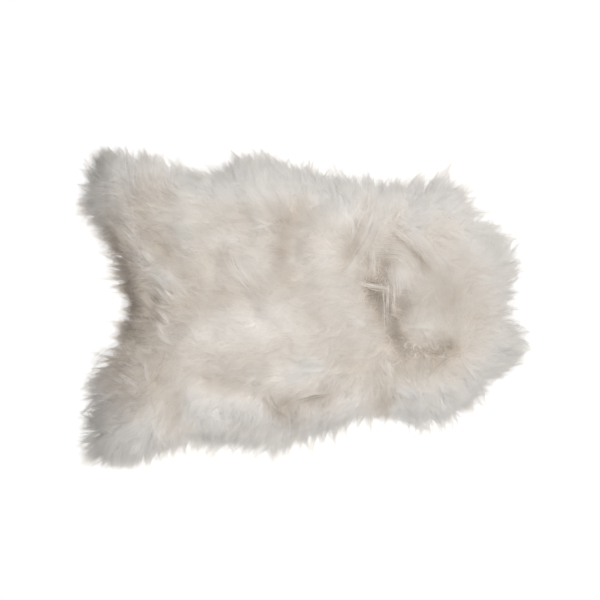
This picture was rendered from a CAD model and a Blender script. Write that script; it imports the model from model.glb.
import math

import bmesh
import bpy
import numpy as np
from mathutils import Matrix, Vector, noise
from mathutils.bvhtree import BVHTree


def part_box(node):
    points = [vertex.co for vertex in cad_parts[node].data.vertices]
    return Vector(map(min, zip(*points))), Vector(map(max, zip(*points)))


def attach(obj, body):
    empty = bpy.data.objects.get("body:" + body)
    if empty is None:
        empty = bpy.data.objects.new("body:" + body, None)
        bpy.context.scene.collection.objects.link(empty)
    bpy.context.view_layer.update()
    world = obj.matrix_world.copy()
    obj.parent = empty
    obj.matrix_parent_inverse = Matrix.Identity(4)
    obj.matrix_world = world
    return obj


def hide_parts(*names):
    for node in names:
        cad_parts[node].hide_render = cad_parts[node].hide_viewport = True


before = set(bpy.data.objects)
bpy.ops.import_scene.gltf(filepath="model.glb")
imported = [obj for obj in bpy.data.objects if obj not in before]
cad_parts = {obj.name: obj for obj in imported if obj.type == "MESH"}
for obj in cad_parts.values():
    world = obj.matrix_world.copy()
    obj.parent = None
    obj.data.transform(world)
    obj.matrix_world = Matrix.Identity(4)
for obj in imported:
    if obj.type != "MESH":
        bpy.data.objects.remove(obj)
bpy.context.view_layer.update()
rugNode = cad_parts["sheepskin"]
lowCorner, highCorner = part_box("sheepskin")
print("frame loaded", [round(v, 3) for v in highCorner - lowCorner])

# maps over the rug's plan, read from the frame: x along columns, y along rows
maps = {
    "step": 0.004,          # metres between map points
    "margin": 0.040,        # map beyond the frame's box
    "above": 1.0,           # height from which the rug's top is felt for
    "floor": 1e-5,          # corners lower than this lie on the floor
    "topPasses": 7,         # how far the top is softened, so that locks merge
    "layPasses": 40,        # and the way out to the nearest edge
    "facePasses": 3,        # more softening for the direction in which the pile's face looks
    "relief": 0.95,         # how strongly that face tilts over lumps and dips, along x
    "reliefAcross": 0.57,   # and along y
    "broadPasses": 220,     # and the softening for its tilt over the rug as a whole
    "broadRelief": 0.50,
    "bridgePasses": 14,     # and for strands that cross a dip
    "stray": 0.006,         # how far a form's edge wanders
    "straySize": 0.045,
    "straySeeds": (41, 42),
    "shallow": 0.03,        # forms fade out where the wool is lower than this
    "sectors": 720,         # directions round the rug in which its outline is read
    "sectorWide": 0.012,    # radians to each side of them
    "farthest": 0.15,       # how far ahead of a point its outline is looked for
    "aheadSteps": 61,
}
endless = 9.0               # metres, past everything on the rug

mapX = np.arange(lowCorner.x - maps["margin"], highCorner.x + maps["margin"], maps["step"])
mapY = np.arange(lowCorner.y - maps["margin"], highCorner.y + maps["margin"], maps["step"])
gridX, gridY = np.meshgrid(mapX, mapY)


def softened(values, passes):
    for _ in range(passes):
        padded = np.pad(values, 1, mode="edge")
        values = (padded[1:-1, :-2] + 2 * padded[1:-1, 1:-1] + padded[1:-1, 2:]) / 4
        padded = np.pad(values, 1, mode="edge")
        values = (padded[:-2, 1:-1] + 2 * padded[1:-1, 1:-1] + padded[2:, 1:-1]) / 4
    return values


def readMap(values, x, y):
    column = np.clip((x - mapX[0]) / maps["step"], 0, len(mapX) - 1.001)
    row = np.clip((y - mapY[0]) / maps["step"], 0, len(mapY) - 1.001)
    i = column.astype(int)
    j = row.astype(int)
    a = column - i
    b = row - j
    low = values[j, i] * (1 - a) + values[j, i + 1] * a
    high = values[j + 1, i] * (1 - a) + values[j + 1, i + 1] * a
    return low * (1 - b) + high * b


def readAt(values, x, y):
    return float(readMap(values, np.array([x]), np.array([y]))[0])


def smoothStep(value, low, high):
    part = np.clip((value - low) / (high - low), 0, 1)
    return part * part * (3 - 2 * part)


def turned(angle):
    return (angle + math.pi) % (2 * math.pi) - math.pi


waveShape = {
    "octaves": 3,
    "sines": 6,             # in each octave
    "finer": 1.8,           # how much shorter and lower the next octave's waves are
    "widths": (0.7, 1.4),   # of the size that is asked for
    "level": 5.0,           # brings the sum to between about -1 and 1
}


def waves(x, y, seed, size):
    # smooth noise from a few sums of sines at seeded directions
    random = np.random.default_rng(seed)
    total = np.zeros(np.shape(x))
    for octave in range(waveShape["octaves"]):
        fine = waveShape["finer"] ** octave
        for _ in range(waveShape["sines"]):
            turn = random.uniform(0, 2 * math.pi)
            phase = random.uniform(0, 2 * math.pi)
            scale = 2 * math.pi / (size * random.uniform(*waveShape["widths"])) * fine
            total = total + np.sin((x * math.cos(turn) + y * math.sin(turn)) * scale + phase) / fine
    return np.clip(total / waveShape["level"], -1, 1)


def rugTop():
    tree = BVHTree.FromPolygons(
        [v.co for v in rugNode.data.vertices], [tuple(p.vertices) for p in rugNode.data.polygons]
    )
    top = np.zeros(gridX.shape)
    down = Vector((0, 0, -1))
    for j, y in enumerate(mapY):
        for i, x in enumerate(mapX):
            place = tree.ray_cast(Vector((x, y, maps["above"])), down)[0]
            top[j, i] = 0 if place is None else place.z
    return top


# the hide's edge is where the rug's solid meets the floor
corners = np.array([v.co for v in rugNode.data.vertices])
onFloor = np.unique(corners[corners[:, 2] < maps["floor"]].round(6), axis=0)
floorAngle = np.arctan2(onFloor[:, 1], onFloor[:, 0])
floorOrder = np.argsort(floorAngle)
hideLine = onFloor[floorOrder][:, :2]
hideAngle = floorAngle[floorOrder]


def hideRadius(angle):
    return np.interp(angle, hideAngle, np.hypot(hideLine[:, 0], hideLine[:, 1]), period=2 * math.pi)


def insideHide(x, y):
    # distance in from the hide's edge, negative outside it
    start = hideLine
    run = np.roll(hideLine, -1, axis=0) - start
    least = np.full(x.shape, endless)
    for (sx, sy), (rx, ry) in zip(start, run):
        part = np.clip(((x - sx) * rx + (y - sy) * ry) / (rx * rx + ry * ry), 0, 1)
        least = np.minimum(least, np.hypot(x - sx - part * rx, y - sy - part * ry))
    within = np.hypot(x, y) < hideRadius(np.arctan2(y, x))
    return np.where(within, least, -least)


insideMap = insideHide(gridX, gridY)
slopeY, slopeX = np.gradient(softened(insideMap, maps["layPasses"]), maps["step"])
slopeLong = np.hypot(slopeX, slopeY) + 1e-9
outX = -slopeX / slopeLong
outY = -slopeY / slopeLong

# the wool's outline: how far the rug's solid comes, in each direction
cornerAngle = np.arctan2(corners[:, 1], corners[:, 0])
cornerFar = np.hypot(corners[:, 0], corners[:, 1])
sectorAngle = (np.arange(maps["sectors"]) + 0.5) / maps["sectors"] * 2 * math.pi - math.pi
sectorFar = np.array([
    cornerFar[np.abs(turned(cornerAngle - a)) < maps["sectorWide"]].max() for a in sectorAngle
])


# where the wool comes past that outline or stops short of it: place, x, y, radius, how far
lobes = (
    ("head corner", 0.295, 0.304, 0.046, 0.05),
    ("head top", 0.17, 0.306, 0.036, 0.023),
    ("temple", 0.395, 0.227, 0.059, -0.036),
    ("neck", 0.475, -0.028, 0.048, -0.074),
    ("neck low", 0.464, -0.124, 0.036, -0.024),
    ("neck high", 0.473, 0.104, 0.059, -0.02),
    ("jaw", 0.4, -0.188, 0.032, -0.058),
    ("throat right", 0.363, -0.233, 0.032, 0.004),
    ("throat", 0.35, -0.256, 0.027, 0.014),
    ("throat left", 0.286, -0.272, 0.027, 0.054),
    ("lower leg foot", -0.382, -0.357, 0.052, 0.07),
    ("belly corner", -0.233, -0.325, 0.046, 0.026),
    ("belly middle", -0.083, -0.329, 0.05, 0.014),
    ("belly front", 0.063, -0.293, 0.034, 0.03),
    ("lower leg point", -0.514, -0.286, 0.03, 0.076),
    ("lower leg corner", -0.493, -0.347, 0.036, 0.03),
    ("lower leg dent", -0.493, -0.222, 0.023, -0.05),
    ("lower leg side", -0.507, -0.183, 0.027, 0.028),
    ("notch foot", -0.464, -0.136, 0.027, -0.036),
    ("notch low", -0.429, -0.065, 0.025, -0.012),
    ("notch", -0.418, 0.008, 0.021, -0.022),
    ("notch middle", -0.436, 0.072, 0.03, 0.042),
    ("notch high", -0.454, 0.126, 0.027, -0.034),
    ("upper leg point", -0.53, 0.238, 0.03, 0.078),
    ("upper leg under", -0.489, 0.195, 0.027, 0.014),
    ("upper leg side", -0.498, 0.281, 0.021, -0.033),
    ("upper leg corner", -0.493, 0.345, 0.032, 0.012),
    ("upper leg top", -0.393, 0.357, 0.05, 0.012),
    ("back dip", -0.231, 0.316, 0.062, -0.043),
    ("back top", -0.06, 0.345, 0.05, 0.008),
    ("shoulder top", 0.083, 0.309, 0.041, -0.024),
    ("hip top", -0.306, 0.331, 0.023, 0.01),
    ("hip end", -0.174, 0.343, 0.025, 0.014),
    ("neck upper", 0.445, 0.163, 0.03, -0.02),
)


def lobeReach(x, y, dips):
    more = np.zeros(np.shape(x))
    for _, cx, cy, radius, far in lobes:
        share = dips if far < 0 else 1.0
        more = more + far * share * np.exp(-((x - cx) ** 2 + (y - cy) ** 2) / radius ** 2)
    return more


def outlineAhead(x, y, heading, dips=1.0):
    # the way from a point to the outline, along its heading
    steps = np.linspace(0, maps["farthest"], maps["aheadSteps"])
    aheadX = x[:, None] + np.cos(heading)[:, None] * steps
    aheadY = y[:, None] + np.sin(heading)[:, None] * steps
    far = np.interp(np.arctan2(aheadY, aheadX), sectorAngle, sectorFar, period=2 * math.pi)
    past = np.hypot(aheadX, aheadY) > far
    past[:, -1] = True
    ahead = steps[past.argmax(axis=1)]
    return ahead + lobeReach(x + np.cos(heading) * ahead, y + np.sin(heading) * ahead, dips)


# hollows and clouds in the wool beyond the forms of the solid
# place, x, y, half length, half width, turn in degrees, depth (a cloud's is negative), warmth
forms = (
    ("parting head", 0.186, 0.104, 0.046, 0.023, 82, 0.003, 0.36),
    ("parting", 0.188, 0.003, 0.064, 0.027, -76, 0.0, 0.33),
    ("parting left", 0.151, 0.026, 0.059, 0.023, -78, 0.0, 0.24),
    ("parting foot", 0.213, -0.065, 0.041, 0.025, -60, 0.0, 0.28),
    ("parting right", 0.222, -0.015, 0.05, 0.021, 84, -0.001, 0.12),
    ("tangle strip", 0.281, -0.101, 0.082, 0.027, 0, 0.001, 0.27),
    ("tangle right", 0.334, -0.083, 0.036, 0.036, 0, 0.001, 0.14),
    ("beige dip", -0.056, 0.131, 0.068, 0.023, 80, 0.004, 0.28),
    ("beige dip head", -0.038, 0.208, 0.041, 0.027, 30, 0.002, 0.18),
    ("beige dip foot", -0.035, 0.058, 0.036, 0.023, -50, 0.001, 0.12),
    ("middle warm", 0.028, 0.149, 0.027, 0.03, 0, 0.0, 0.09),
    ("beige side", -0.026, 0.158, 0.018, 0.034, 0, 0.0, 0.08),
    ("beige patch", -0.01, 0.233, 0.055, 0.034, -10, 0.002, 0.16),
    ("rump hollow", -0.338, 0.154, 0.064, 0.03, -60, 0.004, 0.28),
    ("leg hollow", -0.398, 0.208, 0.077, 0.041, -60, 0.003, 0.14),
    ("thigh seam", -0.347, 0.272, 0.068, 0.046, -10, 0.003, 0.24),
    ("belly crease", -0.179, -0.177, 0.057, 0.021, -12, 0.005, 0.22),
    ("curved dip", -0.054, -0.236, 0.039, 0.027, -40, 0.006, 0.36),
    ("thin fold", -0.001, -0.211, 0.073, 0.016, 8, 0.005, 0.22),
    ("fold shade", 0.049, -0.202, 0.064, 0.036, 0, 0.002, 0.2),
    ("arch shade", 0.213, 0.195, 0.027, 0.046, 0, 0.001, 0.22),
    ("arch side", 0.145, 0.049, 0.025, 0.032, 0, 0.001, 0.16),
    ("cheek gap", 0.261, 0.113, 0.055, 0.021, -47, 0.005, 0.26),
    ("shoulder hollow", 0.117, 0.14, 0.059, 0.027, 66, 0.004, 0.28),
    ("neck hollow", 0.29, 0.017, 0.082, 0.05, 0, 0.003, 0.14),
    ("neck hollow right", 0.377, 0.035, 0.055, 0.068, 0, 0.002, 0.12),
    ("neck shade", 0.404, -0.024, 0.073, 0.046, 70, 0.0, 0.16),
    ("jaw hollow", 0.177, -0.215, 0.041, 0.041, 90, 0.003, 0.44),
    ("below the tangle", 0.274, -0.147, 0.118, 0.03, 0, 0.0, 0.24),
    ("lower leg seam", -0.329, -0.156, 0.077, 0.03, 78, 0.001, 0.16),
    ("lower leg top", -0.297, -0.224, 0.036, 0.025, 60, 0.001, 0.22),
    ("lower leg hollow", -0.425, -0.188, 0.096, 0.046, 80, 0.002, 0.28),
    ("peach back", -0.197, 0.017, 0.114, 0.036, 10, 0.002, 0.17),
    ("peach back left", -0.247, 0.072, 0.046, 0.023, -20, 0.0, 0.1),
    ("peach rump", -0.204, 0.104, 0.059, 0.023, 0, 0.002, 0.1),
    ("back warm", -0.156, 0.14, 0.1, 0.068, 0, 0.001, 0.06),
    ("belly warm", -0.11, -0.12, 0.137, 0.032, 0, 0.001, 0.14),
    ("fold foot", 0.013, -0.247, 0.068, 0.03, 0, 0.0, 0.16),
    ("middle low", 0.013, 0.026, 0.064, 0.055, 60, 0.0, 0.08),
    ("shoulder right", 0.145, 0.227, 0.03, 0.032, 0, 0.0, 0.18),
    ("cheek shade", 0.327, 0.172, 0.041, 0.036, 0, 0.001, 0.14),
    ("lower leg side", -0.297, -0.274, 0.046, 0.036, 0, 0.0, 0.3),
    ("notch upper", -0.427, 0.131, 0.1, 0.036, -70, 0.0, 0.5),
    ("notch lower", -0.395, -0.001, 0.091, 0.046, 84, 0.0, 0.47),
    ("notch shade", -0.347, -0.051, 0.114, 0.046, 84, 0.0, 0.28),
    ("notch foot", -0.434, -0.12, 0.064, 0.036, 55, 0.0, 0.28),
    ("hip warm", -0.297, 0.24, 0.055, 0.027, 0, 0.0, 0.12),
    ("back high", -0.179, 0.227, 0.059, 0.023, 0, 0.0, 0.1),
    ("rump shade", -0.279, 0.04, 0.059, 0.091, 10, 0.0, 0.08),
    ("cloud", -0.165, -0.054, 0.087, 0.057, 0, -0.009, -0.13),
    ("small cloud", -0.074, -0.024, 0.064, 0.036, 0, -0.006, -0.2),
    ("belly shade", 0.117, -0.133, 0.096, 0.068, 0, 0.0, 0.14),
    ("flank shade", -0.097, -0.284, 0.114, 0.027, 0, 0.0, 0.1),
    ("side cloud", -0.01, -0.14, 0.08, 0.036, 0, -0.009, -0.2),
    ("flank cloud", -0.156, -0.231, 0.077, 0.027, 0, -0.006, -0.12),
    ("flank cloud left", -0.249, -0.215, 0.03, 0.041, 0, -0.007, -0.16),
    ("shoulder streak", 0.085, 0.249, 0.064, 0.021, 80, -0.006, -0.16),
    ("streak left", 0.06, 0.254, 0.041, 0.027, 90, -0.004, -0.18),
    ("rump cloud", -0.177, 0.158, 0.036, 0.021, 0, -0.006, -0.16),
    ("upper back cloud", -0.224, 0.29, 0.068, 0.023, 0, -0.004, -0.2),
    ("hip cloud", -0.279, 0.179, 0.046, 0.027, -70, -0.004, -0.14),
    ("rump spot", -0.311, 0.069, 0.032, 0.021, -45, -0.004, -0.22),
    ("back cloud", -0.106, 0.113, 0.05, 0.021, -30, -0.006, -0.14),
    ("middle cloud", 0.035, 0.095, 0.059, 0.027, 85, -0.005, -0.12),
    ("neck cloud low", 0.395, -0.163, 0.041, 0.027, 0, -0.006, -0.06),
    ("temple cloud", 0.29, 0.24, 0.068, 0.041, -40, -0.005, -0.06),
    ("lower leg cloud", -0.352, -0.286, 0.055, 0.025, 0, -0.006, -0.12),
    ("arch lobe", 0.202, 0.081, 0.03, 0.018, 80, -0.005, -0.02),
    ("tangle cloud", 0.259, -0.04, 0.032, 0.023, 0, -0.005, -0.06),
    ("upper cloud", -0.12, 0.277, 0.064, 0.027, 0, -0.004, -0.14),
    ("flank right cloud", 0.108, -0.218, 0.05, 0.023, 0, -0.003, -0.06),
    ("throat cloud", 0.245, -0.211, 0.059, 0.023, 0, -0.001, 0.04),
)

# duller wool: place, x, y, half width, half height, how much
greys = (
    ("upper leg", -0.429, 0.295, 0.073, 0.077, 0.24),
    ("upper leg foot", -0.47, 0.204, 0.032, 0.032, 0.1),
    ("lower leg", -0.445, -0.247, 0.08, 0.082, 0.29),
    ("lower leg foot", -0.384, -0.329, 0.077, 0.032, 0.16),
    ("flank edge", -0.01, -0.268, 0.118, 0.032, 0.26),
    ("flank left", -0.206, -0.297, 0.091, 0.023, 0.1),
    ("notch edge", -0.42, 0.104, 0.032, 0.096, 0.1),
)

# where strands cross and curl most: place, x, y, half width, half height, how much
restless = (
    ("notch", -0.391, 0.044, 0.068, 0.15, 0.9),
    ("notch foot", -0.416, -0.142, 0.082, 0.077, 0.6),
    ("rump", -0.318, 0.163, 0.082, 0.082, 0.2),
    ("neck", 0.409, 0.017, 0.1, 0.159, 0.1),
    ("upper leg", -0.443, 0.268, 0.077, 0.077, 0.1),
    ("neck rim", 0.459, -0.028, 0.036, 0.137, 0.4),
    ("back", -0.147, 0.063, 0.137, 0.068, 0.1),
)


def spots(table):
    total = np.zeros(gridX.shape)
    for _, cx, cy, halfWide, halfHigh, share in table:
        total = total + share * np.exp(-((gridX - cx) / halfWide) ** 2 - ((gridY - cy) / halfHigh) ** 2)
    return total


def formShares():
    # their edges wander a little, as tufts lean in over them
    seedX, seedY = maps["straySeeds"]
    strayX = gridX + maps["stray"] * waves(gridX, gridY, seedX, maps["straySize"])
    strayY = gridY + maps["stray"] * waves(gridX, gridY, seedY, maps["straySize"])
    for _, cx, cy, halfLong, halfWide, turn, depth, warm in forms:
        c = math.cos(math.radians(turn))
        s = math.sin(math.radians(turn))
        along = ((strayX - cx) * c + (strayY - cy) * s) / halfLong
        across = ((strayY - cy) * c - (strayX - cx) * s) / halfWide
        yield np.exp(-along ** 2 - across ** 2), depth, warm


topMap = softened(rugTop(), maps["topPasses"])
warmMap = np.zeros(topMap.shape)
for share, depth, warm in formShares():
    topMap = topMap - depth * share * smoothStep(topMap, 0.0, maps["shallow"])
    warmMap = warmMap + warm * share
greyMap = spots(greys)
restMap = spots(restless)
topMap = np.maximum(topMap, 0)
bridgeMap = np.maximum(topMap, softened(topMap, maps["bridgePasses"]))
riseY, riseX = np.gradient(softened(topMap, maps["facePasses"]), maps["step"])
broadY, broadX = np.gradient(softened(topMap, maps["broadPasses"]), maps["step"])
faceX = -riseX * maps["relief"] - broadX * maps["broadRelief"]
faceY = -riseY * maps["reliefAcross"]
print("maps made", topMap.shape, "outline", sectorFar.min().round(3), sectorFar.max().round(3))


def pileFace(x, y):
    face = np.stack([readMap(faceX, x, y), readMap(faceY, x, y), np.ones(np.shape(x))], axis=-1)
    return face / np.linalg.norm(face, axis=-1, keepdims=True)


# how the wool lies: away from the parting and out over the rim, turned where it was combed
lay = {
    "parting": ((0.165, 0.125), (0.176, 0.040), (0.190, -0.030), (0.215, -0.085), (0.335, -0.100)),
    "partingSoft": 0.012,   # how gently it turns away from the parting
    "rimPull": 1.15,
    "rimWidth": 0.044,
    "blendPasses": 14,
    "uncombed": 0.35,       # what is left of its own way where a comb holds
    "combFrom": -0.010,     # combs take hold between these depths in from the hide's edge
    "combTo": 0.045,
    "sway": 30.0,           # degrees that it wanders
    "swaySize": 0.11,
    "swaySeed": 5,
    "ripple": 14.0,
    "rippleSize": 0.035,
    "rippleSeed": 6,
    "steadyPasses": 70,
}

# place, x, y, radius over which it holds, direction in degrees from +X
combs = (
    ("notch upper", -0.37, 0.095, 0.07, 143),
    ("notch middle", -0.355, -0.02, 0.06, 128),
    ("notch lower", -0.405, -0.14, 0.06, 137),
    ("upper leg", -0.44, 0.26, 0.08, 150),
    ("lower leg", -0.44, -0.27, 0.09, 205),
    ("rump", -0.24, 0.08, 0.09, 150),
    ("back", -0.11, 0.06, 0.07, 133),
    ("back upper", -0.13, 0.18, 0.07, 176),
    ("belly crease", -0.19, -0.13, 0.06, 160),
    ("belly", -0.01, -0.07, 0.08, 176),
    ("belly lower", 0.0, -0.14, 0.06, 186),
    ("thigh", -0.23, -0.2, 0.08, 262),
    ("flank lower", -0.06, -0.27, 0.08, 285),
    ("flank right", 0.11, -0.22, 0.08, 265),
    ("flank upper", -0.08, 0.29, 0.09, 92),
    ("before shoulder", 0.07, 0.11, 0.05, 200),
    ("shoulder", 0.125, 0.18, 0.05, 66),
    ("above shoulder", 0.13, 0.27, 0.06, 85),
    ("arch left", 0.165, 0.11, 0.03, 60),
    ("arch top", 0.2, 0.13, 0.03, 5),
    ("arch right", 0.25, 0.09, 0.05, -55),
    ("cheek", 0.3, 0.18, 0.06, -40),
    ("temple", 0.33, 0.25, 0.07, 35),
    ("neck", 0.42, 0.02, 0.09, -2),
    ("after parting", 0.24, -0.02, 0.03, -75),
    ("jaw", 0.38, -0.15, 0.08, -18),
    ("below tangle", 0.26, -0.17, 0.07, -38),
    ("throat", 0.25, -0.27, 0.07, -38),
)


def layField():
    away = np.full(gridX.shape, endless)
    awayX = np.zeros(gridX.shape)
    awayY = np.zeros(gridX.shape)
    for (ax, ay), (bx, by) in zip(lay["parting"], lay["parting"][1:]):
        part = ((gridX - ax) * (bx - ax) + (gridY - ay) * (by - ay)) / ((bx - ax) ** 2 + (by - ay) ** 2)
        part = np.clip(part, 0, 1)
        x = gridX - ax - (bx - ax) * part
        y = gridY - ay - (by - ay) * part
        closer = np.hypot(x, y) < away
        awayX = np.where(closer, x, awayX)
        awayY = np.where(closer, y, awayY)
        away = np.minimum(away, np.hypot(x, y))
    away = away + lay["partingSoft"]
    rim = lay["rimPull"] * np.exp(-np.maximum(insideMap, 0) / lay["rimWidth"])
    x = softened(awayX / away + outX * rim, lay["blendPasses"])
    y = softened(awayY / away + outY * rim, lay["blendPasses"])
    turn = np.zeros(gridX.shape)
    share = np.full(gridX.shape, lay["uncombed"])
    for _, cx, cy, radius, direction in combs:
        base = math.atan2(readAt(y, cx, cy), readAt(x, cx, cy))
        hold = np.exp(-((gridX - cx) ** 2 + (gridY - cy) ** 2) / radius ** 2)
        turn = turn + hold * turned(math.radians(direction) - base)
        share = share + hold
    turn = turn / np.maximum(share, 1.0) * smoothStep(insideMap, lay["combFrom"], lay["combTo"])
    angle = np.arctan2(y, x) + turn
    for way in ("sway", "ripple"):
        wander = waves(gridX, gridY, lay[way + "Seed"], lay[way + "Size"])
        angle = angle + math.radians(lay[way]) * wander
    return np.cos(angle), np.sin(angle)


layX, layY = layField()
# near 1 where neighbouring wool lies one way, lower where it parts or meets
steadyMap = np.hypot(softened(layX, lay["steadyPasses"]), softened(layY, lay["steadyPasses"]))


def layAngle(x, y):
    return np.arctan2(readMap(layY, x, y), readMap(layX, x, y))


def looseness(x, y, rim):
    # more where the wool parts or meets, and none at the rim
    return (1 - np.clip(readMap(steadyMap, x, y), 0, 1)) * (1 - rim)


def scatter(spacing, stray, least, most, seed):
    # staggered rows of points over the hide, each moved a little
    random = np.random.default_rng(seed)
    rowStep = 0.866         # for triangles with even sides
    rows = np.arange(mapY[0], mapY[-1], spacing * rowStep)
    columns = np.arange(mapX[0], mapX[-1], spacing)
    x, y = np.meshgrid(columns, rows)
    x = x + (np.arange(len(rows)) % 2)[:, None] * spacing / 2
    x = (x + random.uniform(-stray, stray, x.shape) * spacing).ravel()
    y = (y + random.uniform(-stray, stray, y.shape) * spacing).ravel()
    inside = readMap(insideMap, x, y)
    kept = (inside > least) & (inside < most)
    return x[kept], y[kept]


def nearest(x, y, toX, toY):
    best = np.zeros(len(x), int)
    batch = 2000            # points at a time, to save memory
    for start in range(0, len(x), batch):
        part = slice(start, start + batch)
        away = (x[part, None] - toX) ** 2 + (y[part, None] - toY) ** 2
        best[part] = away.argmin(axis=1)
    return best


# ribbons: each hair is one tapered strip whose face looks the way the pile does
ribbons = {
    "face": 0.55,           # 1 shades a hair like the pile's face, 0 like a strip of its own
    "square": 0.98,         # how far its own face is turned square to it
    "round": 0.30,          # how far its two edges look away from each other
    "roll": 0.22,
    "ruffle": 0.03,
    "taper": 0.40,          # width near the point, as part of the full one
    "taperCurve": 1.5,
    "rootShade": 0.07,
    "edgeTint": 0.004,      # how much its edges differ from its middle
}
fullLight = 0.94            # light on wool that nothing shades


def unit(vectors):
    return vectors / (np.linalg.norm(vectors, axis=-1, keepdims=True) + 1e-12)


def inRamp(values):
    return np.clip(values, 0.01, 0.99)


def stripPlan(ribs):
    # corners of one strip: the loops of its faces, each corner's rib, and which side it is on
    loops = []
    for rib in range(ribs - 1):
        a = 2 * rib
        loops += [a, a + 1, a + 3, a + 2]
    loops = np.array(loops + [2 * ribs - 2, 2 * ribs - 1, 2 * ribs])
    sizes = np.array([4] * (ribs - 1) + [3])
    level = np.append(np.repeat(np.arange(ribs), 2), ribs)
    across = np.append(np.tile([-1.0, 1.0], ribs), 0.0)
    return loops, sizes, level, across


def stripMesh(name, points, loops, sizes):
    # points is strips x corners x 3, and every strip has the same loops
    count, cornerCount, _ = points.shape
    mesh = bpy.data.meshes.new(name)
    mesh.vertices.add(count * cornerCount)
    mesh.vertices.foreach_set("co", points.ravel())
    allLoops = (loops[None, :] + np.arange(count)[:, None] * cornerCount).ravel()
    mesh.loops.add(len(allLoops))
    mesh.loops.foreach_set("vertex_index", allLoops)
    allSizes = np.tile(sizes, count)
    mesh.polygons.add(len(allSizes))
    mesh.polygons.foreach_set("loop_start", np.concatenate([[0], np.cumsum(allSizes)[:-1]]))
    mesh.polygons.foreach_set("use_smooth", np.ones(len(allSizes), bool))
    mesh.update(calc_edges=True)
    print(name, count, "hairs,", int((allSizes - 2).sum()), "triangles")
    return mesh


def hairObject(name, paths, halfWidths, tint, shade, lean, random):
    # paths is hairs x levels x 3, tint hairs x levels, shade one value a hair, and lean hairs x 2
    count, levels, _ = paths.shape
    ribs = levels - 1
    tangent = unit(np.gradient(paths, axis=1))
    face = pileFace(paths[:, :, 0], paths[:, :, 1])
    face[:, :, :2] += lean[:, None, :]
    face = unit(face)
    up = unit(face - tangent * (face * tangent).sum(axis=2, keepdims=True) * ribbons["square"])
    side = unit(np.cross(tangent, up))
    roll = random.normal(0, ribbons["roll"], count)[:, None, None]
    side = side * np.cos(roll) + up * np.sin(roll)
    ruffle = random.normal(0, ribbons["ruffle"], (count, 1, 3))
    looks = unit(face * ribbons["face"] + up * (1 - ribbons["face"]) + ruffle)
    width = 1 - (1 - ribbons["taper"]) * (np.arange(ribs) / (ribs - 1)) ** ribbons["taperCurve"]
    reach = side[:, :ribs] * (halfWidths[:, None] * width[None, :])[:, :, None]
    points = np.empty((count, 2 * ribs + 1, 3))
    points[:, 0:2 * ribs:2] = paths[:, :ribs] - reach
    points[:, 1:2 * ribs:2] = paths[:, :ribs] + reach
    points[:, -1] = paths[:, -1]
    normals = np.empty(points.shape)
    normals[:, 0:2 * ribs:2] = unit(looks[:, :ribs] - side[:, :ribs] * ribbons["round"])
    normals[:, 1:2 * ribs:2] = unit(looks[:, :ribs] + side[:, :ribs] * ribbons["round"])
    normals[:, -1] = looks[:, -1]
    loops, sizes, level, across = stripPlan(ribs)
    mesh = stripMesh(name, points, loops, sizes)
    along = np.linspace(0, 1, levels)[level]
    uv = np.empty((count, len(loops), 2))
    uv[:, :, 0] = inRamp(tint)[:, level[loops]] + across[loops][None, :] * ribbons["edgeTint"]
    light = fullLight - readMap(greyMap, paths[:, :, 0], paths[:, :, 1]) - shade[:, None]
    light = light[:, level[loops]] - ribbons["rootShade"] * (1 - along[loops])[None, :]
    uv[:, :, 1] = inRamp(light)
    mesh.uv_layers.new(name="OFBake").data.foreach_set("uv", uv.ravel())
    mesh.normals_split_custom_set_from_vertices(normals.reshape(-1, 3))
    hair = bpy.data.objects.new(name, mesh)
    bpy.context.scene.collection.objects.link(hair)
    return hair


# how a hair comes up from its root, which lies under the wool's top
growth = {
    "lowestRoot": 0.004,
    "lowest": 0.0012,       # no point comes nearer to the floor
    "steep": 3.2,           # 1 climbs evenly, and more climbs at once
}


def growPaths(root, tip, level, lift, bow, depth, frizz, levels, random):
    # root and tip in plan, level as a part of the wool's height
    run = tip - root
    runLong = np.hypot(run[:, 0], run[:, 1]) + 1e-9
    aside = np.stack([-run[:, 1], run[:, 0]], axis=1) / runLong[:, None]
    paths = np.zeros((len(root), levels, 3))
    low = np.maximum(readMap(topMap, root[:, 0], root[:, 1]) * level - depth, growth["lowestRoot"])
    for k, step in enumerate(np.linspace(0, 1, levels)):
        arch = math.sin(math.pi * step)
        plan = root + run * step + aside * (bow * arch)[:, None]
        plan = plan + random.normal(0, 1, plan.shape) * (frizz * min(step * 2, 1))[:, None]
        top = readMap(topMap, plan[:, 0], plan[:, 1]) * level + lift * arch
        rise = 1 - (1 - step) ** growth["steep"]
        paths[:, k, :2] = plan
        paths[:, k, 2] = np.maximum(low * (1 - rise) + top * rise, growth["lowest"])
    return paths


# tufts, and the wisps that each of them is made of
tufts = {
    "spacing": 0.034,
    "stray": 0.38,
    "outside": 0.002,       # how far past the hide's edge a tuft may stand
    "seed": 11,
    "length": 0.058,        # how far a tuft's point lies from its roots, in plan
    "lengths": (0.75, 1.25),
    "rimLengths": (0.94, 1.18),     # at the rim, as part of the way to the outline
    "rimFrom": 0.006,       # a tuft belongs to the rim if it is less than this in from the hide's edge
    "rimTo": 0.042,         # and less and less so up to this
    "turn": 17.0,           # degrees that a tuft strays from the way the wool lies there
    "looseTurn": 90.0,      # and more where the wool parts or meets
    "lean": 0.10,
    "gather": 0.20,         # how far its wisps draw in to the one point
    "rimGather": 0.26,
    "dome": 0.0026,
    "round": 0.30,          # how far a tuft's sides look away from its middle
}

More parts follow.
